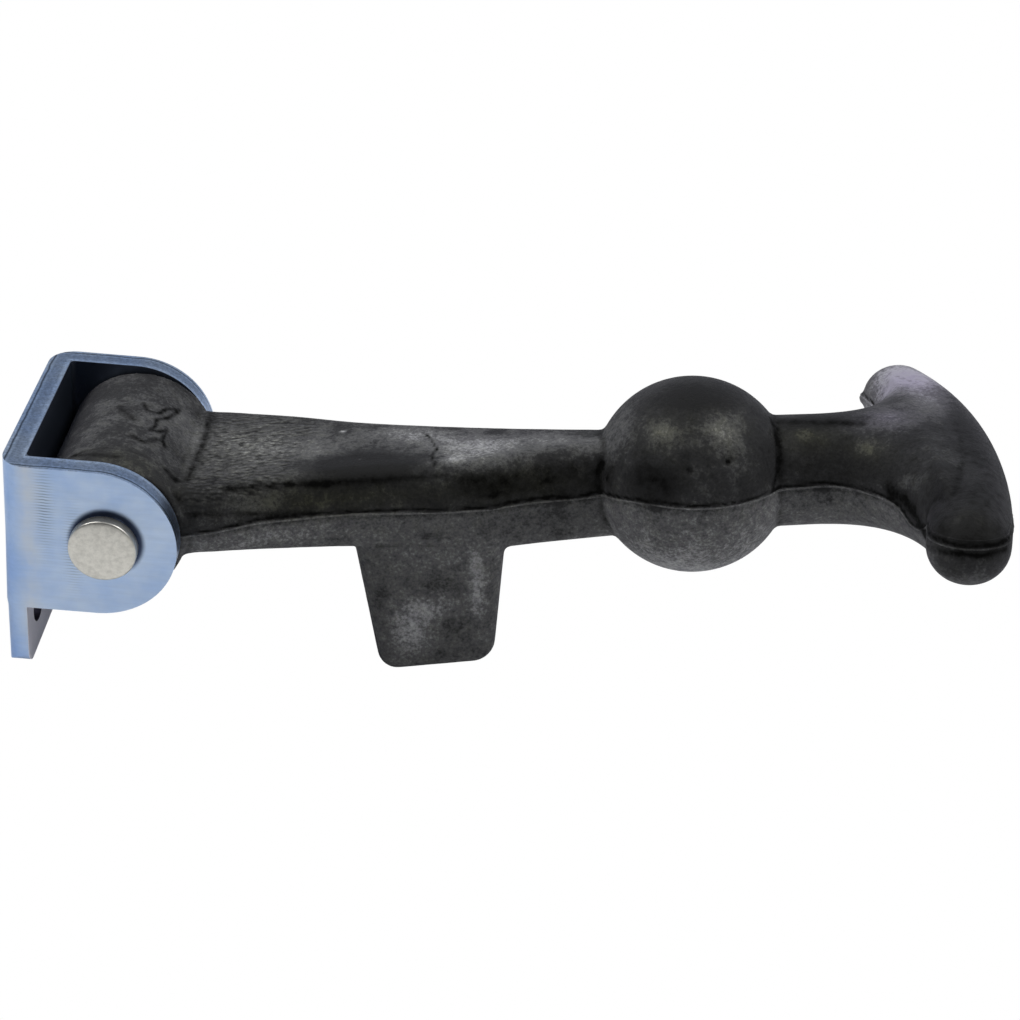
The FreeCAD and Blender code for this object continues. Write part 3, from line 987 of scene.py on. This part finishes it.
# Moulded black rubber: matt and near black, with a dusty grey bloom in clouds that thickens to pale
# chalk. Clouds, smears and grain are noise, as size in mm, detail and roughness. Bumps are (strength,
# depth in metres).
rubberLook = {
    "stops": [(0.0, "#151514"), (0.3, "#303030"), (0.62, "#666666"), (1.0, "#bcbcbe")],
    "tints": [(0.0, "#dcd4ea"), (0.5, "#ffffff"), (1.0, "#ebebc4")],
    "dirtAndShade": "#080807",
    "dirtAndShadeRange": (0.15, 1.0),
    "dirtAndShadeCover": 0.96,
    "clouds": (6.0, 9.0, 0.68),
    "cloudDistortion": 0.15,
    "cloudShare": 0.34,
    "patchBloom": 0.5,
    "patchRange": (0.54, 0.70),
    "patchSwing": (-0.052, 0.078),
    "smears": (1.6, 6.0, 0.65),
    "smearShare": 0.65,
    "smearTint": 0.5,
    "smearTear": 2.0,
    "grain": (0.5, 5.0, 0.7),
    "grainShare": 1.35,
    "grainOnBloom": 0.6,
    "grainOnBare": 0.32,
    "grainBump": (0.6, 0.00015),
    "pebbleSize": 0.55,
    "pebbleStretch": (0.5, 1.0, 1.0),
    "grooveRange": (0.22, 0.6),
    "grooveBump": (0.8, 0.0003),
    "wornRange": (0.3, 0.6),
    "wornCover": 0.95,
    "skin": {"IOR": 1.5, "Roughness": 0.68, "Sheen Roughness": 0.5},
    "gloss": 0.20,
    "dullness": 0.9,
    "sheen": 0.10,
    "sheenTint": "#d9d5e6",
}


def bumped(tree, height, bump, **inputs):
    strength, depth = bump
    return add(tree, "Bump", {
        "Height": height, "Strength": strength, "Distance": depth, **inputs}).outputs[0]


def blackRubber():
    look = rubberLook
    material, tree = newMaterial("mouldedBlackRubber")
    place = add(tree, "TexCoord").outputs["Object"]
    finish = add(tree, "Attribute", attribute_name="finish")
    bloomAndPaintedLight, dirtAndShade, pebble = add(tree, "SeparateColor", {"Color": finish.outputs["Color"]}).outputs
    clouds = clouded(tree, place, look["clouds"], look["cloudDistortion"])
    grain = clouded(tree, place, look["grain"])
    smears = clouded(tree, place, look["smears"])

    # bloom, with the painted highlights, sheen and light in its channel, lies in clouds of several mm,
    # in patches with torn edges, and is mottled down to the grain, less so where the rubber is bare
    patchy = scaled(tree, bloomAndPaintedLight, look["patchBloom"], clouds)
    patches = ranged(tree, patchy, *look["patchRange"], *look["patchSwing"], "SMOOTHSTEP")
    mottling = scaled(tree, bloomAndPaintedLight, look["grainOnBloom"], look["grainOnBare"])
    mottled = times(tree, swung(tree, grain, look["grainShare"]), mottling)
    amount = plus(tree, swung(tree, clouds, look["cloudShare"]), bloomAndPaintedLight, patches,
                  swung(tree, smears, look["smearShare"]), mottled)
    chalk = ramped(tree, amount, look["stops"])
    # the alpha channel tints with olive stain and a painted lavender sheen
    stainAndSheen = plus(tree, finish.outputs["Alpha"], swung(tree, smears, look["smearTint"]))
    colour = blended(tree, 1.0, chalk, ramped(tree, stainAndSheen, look["tints"]), "MULTIPLY")
    # the green channel darkens the colour with dirt and painted shade
    torn = plus(tree, dirtAndShade, swung(tree, smears, look["smearTear"]))
    soiledAndShaded = ranged(tree, torn, *look["dirtAndShadeRange"], 0.0, look["dirtAndShadeCover"])
    colour = blended(tree, soiledAndShaded, colour, look["dirtAndShade"])

    # a coarse pebbled skin near the eye, dark in its grooves, and fine moulding grain everywhere
    stretched = add(tree, "Mapping", {"Vector": place, "Scale": look["pebbleStretch"]})
    pebbles = add(tree, "TexVoronoi", {
        "Vector": stretched.outputs[0], "Scale": 1000 / look["pebbleSize"]}, feature="SMOOTH_F1")
    grooves = ranged(tree, pebbles.outputs["Distance"], *look["grooveRange"])
    grooves = times(tree, grooves, pebble)
    worn = ranged(tree, smears, *look["wornRange"], 0.0, look["wornCover"])
    colour = blended(tree, times(tree, grooves, worn), colour, look["dirtAndShade"])
    sunk = times(tree, grooves, -1.0)
    normal = bumped(tree, sunk, look["grooveBump"], Normal=bumped(tree, grain, look["grainBump"]))

    # dirt and painted shade are dull, so they take the gloss and the dusty sheen away with the colour
    clean = scaled(tree, soiledAndShaded, -look["dullness"], 1.0)
    surfaced(tree, {
        "Base Color": colour, "Normal": normal, "Specular IOR Level": times(tree, clean, look["gloss"]),
        "Sheen Weight": times(tree, clean, look["sheen"]), "Sheen Tint": linear(look["sheenTint"]),
        **look["skin"]})
    return material


# Zinc plate with a clear blue passivation: satin metal, with faint rolling lines, press marks by the
# bend, a warm stain in front of them, streaked sheared edges, painted shade inside the channel, in the
# mounting holes and around the rivet's head, and a painted reflection of the paper on the flange's outer
# face. Sizes and places are in mm in the row frame. A shade is (times, plus) on a noise.
zincLook = {
    "pale": "#bccde4",
    "blue": "#a9c0e2",
    "clouds": (9.0, 5.0, 0.6),
    "cloudRange": (0.38, 0.62),
    "frontFace": -19.7,
    "lilac": "#f4f0f8",
    "lilacZone": (3.5, -12.75),
    "lilacMetal": 0.1,
    "rollStretch": (0.09, 1.0, 1.0),
    "rollLines": (0.62, 3.0, 0.6),
    "rollShade": (0.22, 0.89),
    "markSpacing": 0.5,
    "markWander": {"Distortion": 2.5, "Detail": 2.0, "Detail Scale": 0.6},
    "markRange": (0.5, 1.0),
    "markDepth": 0.55,
    "marks": [((6.8, 6.0), (1.3, 6.5)), ((11.3, -1.0), (1.3, 5.5))],
    "stain": "#c6cacf",
    "stainHill": (4.4, 1.5),
    "stainRange": (0.35, 0.6),
    "stainCover": 0.6,
    "bendShade": "#dfeaf9",
    "bendRange": (1.2, 4.0),
    "bendFacing": 0.5,
    "rivetShadow": "#39435a",
    "rivetShadowShift": (0.3, 0.5),
    "rivetShadowRing": (5.3, 6.3),
    "shearStops": [(0.0, "#ffffff"), (0.14, "#ffffff"), (0.26, "#d3d5d9"), (0.62, "#c6c9cf"),
                   (0.74, "#e9ecef"), (0.82, "#454b57"), (0.89, "#ffffff"), (1.0, "#ffffff")],
    "shearWander": (3.846, 2.0, 0.5),
    "shearWanderShare": 0.16,
    "shearGrain": (0.5, 4.0, 0.7),
    "shearShade": (1.8, 0.1),
    "shearedBeyond": 12.0,
    "shearedLevel": 0.69,
    "channelShade": "#7b8699",
    "channelShadeZone": (3.5, 16.48, -12.6),
    "holeShade": "#3a3845",
    "holeReach": 3.75,
    "holeLevel": 0.45,
    "holeWithin": 3.7,
    "lineRelief": 0.35,
    "markRelief": -0.8,
    "bump": (0.35, 0.00006),
    "roughness": 0.36,
}


# A soft hill of height one about a centre, made from distances along one or more axes
def hill(tree, *axes):
    squares = []
    for value, centre, reach in axes:
        offset = minus(tree, value, centre * mm)
        share = calculate(tree, "DIVIDE", offset, reach * mm)
        squares.append(times(tree, share, share))
    total = plus(tree, *squares)
    return calculate(tree, "POWER", math.e, times(tree, total, -1.0))


def above(tree, value, limit):
    return calculate(tree, "GREATER_THAN", value, limit)


def below(tree, value, limit):
    return calculate(tree, "LESS_THAN", value, limit)


def zincPlate():
    look, form = zincLook, bracketForm
    material, tree = newMaterial("bluePassivatedZinc")
    coordinates = add(tree, "TexCoord")
    place = coordinates.outputs["Object"]
    x, y, z = add(tree, "SeparateXYZ", {"Vector": place}).outputs
    facing = coordinates.outputs["Normal"]
    facingX, _, facingZ = add(tree, "SeparateXYZ", {"Vector": facing}).outputs
    acrossY = calculate(tree, "ABSOLUTE", y)
    onFront = below(tree, y, look["frontFace"] * mm)

    clouds = clouded(tree, place, look["clouds"])
    lowest, highest = look["cloudRange"]
    colour = ramped(tree, clouds, [(lowest, look["blue"]), (highest, look["pale"])])
    # the flange's outer face carries a lilac cast, painted pale as a reflection of the white paper
    fromX, belowZ = look["lilacZone"]
    lilac = times(tree, above(tree, x, fromX * mm), below(tree, z, belowZ * mm))
    colour = blended(tree, lilac, colour, look["lilac"])

    # rolling lines, long along X and fine across
    drawn = add(tree, "Mapping", {"Vector": place, "Scale": look["rollStretch"]})
    lines = clouded(tree, drawn.outputs[0], look["rollLines"])
    faint = scaled(tree, lines, *look["rollShade"])
    # press marks: a wave texture's bands stand 2 pi / 20 units apart at scale one
    dashes = add(tree, "TexWave", {
        "Vector": place, "Scale": 2 * math.pi / 20 * 1000 / look["markSpacing"], **look["markWander"]},
                 bands_direction="Z").outputs["Fac"]
    spots = [hill(tree, (x, alongX, reachX), (z, upZ, reachZ))
             for (alongX, upZ), (reachX, reachZ) in look["marks"]]
    marked = times(tree, ranged(tree, dashes, *look["markRange"]),
                   chained(tree, "MAXIMUM", *spots), onFront)
    shade = minus(tree, faint, times(tree, marked, look["markDepth"]))
    colour = blended(tree, 1.0, colour, shade, "MULTIPLY")

    stain = times(tree, hill(tree, (x, *look["stainHill"])), onFront,
                  ranged(tree, clouds, *look["stainRange"]), look["stainCover"])
    colour = blended(tree, stain, colour, look["stain"])

    # the bend at the back is a little darker and bluer than the ear
    bendStart, bendEnd = look["bendRange"]
    bend = times(tree, ranged(tree, x, bendStart * mm, bendEnd * mm, 1.0, 0.0),
                 below(tree, facingZ, look["bendFacing"]))
    colour = blended(tree, bend, colour, look["bendShade"], "MULTIPLY")

    # painted shadow on the ear in a ring around the rivet's head, thicker above and to its right
    (shiftX, shiftZ), (ringInner, ringOuter) = look["rivetShadowShift"], look["rivetShadowRing"]
    aside = minus(tree, x, (form["pinPlace"] + shiftX) * mm)
    up = minus(tree, z, shiftZ * mm)
    fromPin = calculate(tree, "SQRT", plus(tree, times(tree, aside, aside), times(tree, up, up)))
    ring = ranged(tree, fromPin, ringInner * mm, ringOuter * mm, 1.0, 0.0, "SMOOTHSTEP")
    colour = blended(tree, times(tree, ring, onFront), colour, look["rivetShadow"])

    # sheared edges: a burnished band, a dull torn band and a dark line between them
    inner = (form["halfWidth"] - form["plate"]) * mm
    onEar = calculate(tree, "DIVIDE", minus(tree, acrossY, inner), form["plate"] * mm)
    onPlate = minus(tree, 1.0, calculate(tree, "DIVIDE", x, form["plate"] * mm))
    wander = swung(tree, clouded(tree, place, look["shearWander"]), look["shearWanderShare"])
    depth = plus(tree, calculate(tree, "MAXIMUM", onEar, onPlate), wander)
    torn = scaled(tree, clouded(tree, place, look["shearGrain"]), *look["shearShade"])
    shear = blended(tree, 1.0, ramped(tree, depth, look["shearStops"]), torn, "MULTIPLY")
    earEnd = times(tree, facingX, above(tree, x, look["shearedBeyond"] * mm))
    edgeOn = calculate(tree, "MAXIMUM", calculate(tree, "ABSOLUTE", facingZ), earEnd)
    colour = blended(tree, above(tree, edgeOn, look["shearedLevel"]), colour, shear, "MULTIPLY")

    # painted shade inside the deep channel, and painted shade on the walls of the mounting holes
    fromX, withinY, aboveZ = look["channelShadeZone"]
    inside = times(tree, above(tree, x, fromX * mm), below(tree, acrossY, withinY * mm),
                   above(tree, z, aboveZ * mm))
    colour = blended(tree, inside, colour, look["channelShade"])
    holeY, holeZ = form["mountHolePlaces"][1]
    inHole = hill(tree, (acrossY, holeY, look["holeReach"]), (z, holeZ, look["holeReach"]))
    holeWall = times(tree, above(tree, inHole, look["holeLevel"]),
                     below(tree, x, look["holeWithin"] * mm))
    colour = blended(tree, holeWall, colour, look["holeShade"])

    relief = plus(tree, times(tree, lines, look["lineRelief"]), times(tree, marked, look["markRelief"]))
    # the flange's outer face is made mostly not metal, so that its pale painted reflection shows
    metal = scaled(tree, lilac, look["lilacMetal"] - 1.0, 1.0)
    surfaced(tree, {
        "Base Color": colour, "Metallic": metal, "Roughness": look["roughness"],
        "Normal": bumped(tree, relief, look["bump"])})
    return material


# Bright steel rivet, tumbled: warm silver with faint mottling on the struck face
rivetLook = {
    "pale": "#e4e1d8",
    "dull": "#cfccc3",
    "mottle": (0.9, 5.0, 0.65),
    "mottleRange": (0.35, 0.6),
    "bump": (0.4, 0.00008),
    "roughness": 0.42,
}


def rivetSteel():
    look = rivetLook
    material, tree = newMaterial("tumbledRivetSteel")
    mottle = clouded(tree, add(tree, "TexCoord").outputs["Object"], look["mottle"])
    lowest, highest = look["mottleRange"]
    surfaced(tree, {
        "Base Color": ramped(tree, mottle, [(lowest, look["dull"]), (highest, look["pale"])]),
        "Metallic": 1.0, "Roughness": look["roughness"], "Normal": bumped(tree, mottle, look["bump"])})
    return material


makeCamera()
makeStudio()
print("camera and studio ready")

rubberArm = makeRubberArm()
dress(rubberArm, blackRubber())
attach(rubberArm, "latch_arm")
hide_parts("rubber_arm")
print("rubber arm:", len(rubberArm.data.polygons), "faces")

bracket = makeBracket()
dress(bracket, zincPlate())
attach(bracket, "mounting_bracket")
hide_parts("bracket")
print("bracket:", len(bracket.data.polygons), "faces")

steel = rivetSteel()
rivet = makeRivet()
dress(rivet, steel)
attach(rivet, "mounting_bracket")
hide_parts("pivot_rivet")
dress(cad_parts["spacer_tube"], steel)
print("rivet:", len(rivet.data.polygons), "faces; metal finishes done")
